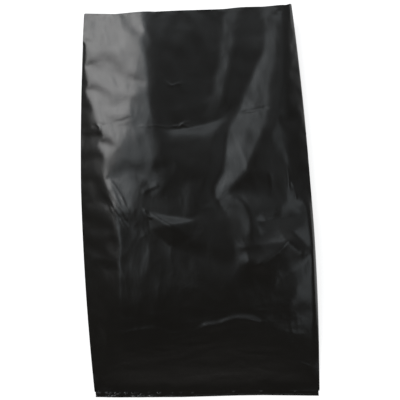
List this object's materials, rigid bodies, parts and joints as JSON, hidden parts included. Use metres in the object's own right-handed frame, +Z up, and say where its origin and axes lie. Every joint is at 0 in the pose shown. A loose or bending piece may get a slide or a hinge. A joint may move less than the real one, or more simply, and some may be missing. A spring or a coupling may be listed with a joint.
{
  "type": "bag of activated carbon",
  "caption": "Flat black film bag of activated carbon granules lying on its back, welded bottom end filled, slack top end drawn into long folds",
  "frame": {"origin": "middle of the bag's box, on the ground it lies on", "axes": "+X across the bag, +Y along it from the welded bottom end to the top cut edge, +Z up through its thickness"},
  "size_m": [0.304, 0.5294, 0.0368],
  "materials": {
    "black_film": "satin black polyethylene film"
  },
  "bodies": {
    "root": {"carbon_bag": "black_film"}
  },
  "joints": []
}
